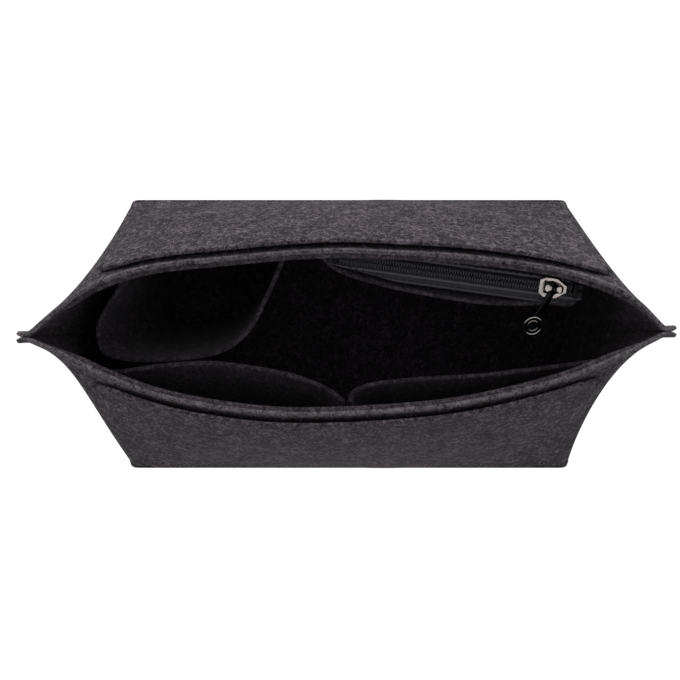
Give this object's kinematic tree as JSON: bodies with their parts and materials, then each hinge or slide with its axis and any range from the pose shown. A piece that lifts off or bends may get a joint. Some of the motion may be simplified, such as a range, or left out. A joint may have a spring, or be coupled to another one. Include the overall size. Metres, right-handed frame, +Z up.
{
  "type": "purse organizer insert",
  "caption": "Felt organizer insert with a boxed base, walls leaning in to a pointed mouth, slip pockets outside, open pockets and a zip pocket inside.",
  "frame": {"origin": "on the surface the insert stands on, under the middle of its base", "axes": "+Z up out of the mouth, +X along the length to the zip's closed end, +Y to the back wall with the zip pocket"},
  "size_m": [0.29, 0.1526, 0.15],
  "materials": {
    "felt": "heathered charcoal pressed felt",
    "thread": "black sewing thread",
    "zip_tape": "black woven polyester tape",
    "coil": "black nylon coil",
    "slider_metal": "polished gunmetal plating"
  },
  "bodies": {
    "insert": {"back_wall": "felt", "front_wall": "felt", "back_lining": "felt", "front_lining": "felt", "base_panel": "felt", "base_lining": "felt", "back_slip_pocket": "felt", "front_slip_pocket": "felt", "back_left_tack": "thread", "back_right_tack": "thread", "front_left_tack": "thread", "front_right_tack": "thread", "bottle_pocket": "felt", "front_left_pocket": "felt", "front_right_pocket": "felt", "zip_pocket": "felt", "zip_upper_tape": "zip_tape", "zip_lower_tape": "zip_tape", "zip_upper_coil": "coil", "zip_lower_coil": "coil", "zip_left_stop": "slider_metal", "zip_right_stop": "slider_metal"},
    "slider": {"zip_slider": "slider_metal"},
    "pull": {"zip_pull": "slider_metal"}
  },
  "joints": [
    {"name": "zip_slide", "type": "slide", "parent": "insert", "child": "slider", "axis": [-0.9904, 0.1382, 0], "range_m": [0, 0.08]},
    {"name": "pull_swing", "type": "hinge", "parent": "slider", "child": "pull", "pos_m": [0.09448, 0.02029, 0.13173], "axis": [-0.9904, 0.1382, 0], "range_deg": [0, 120]}
  ]
}
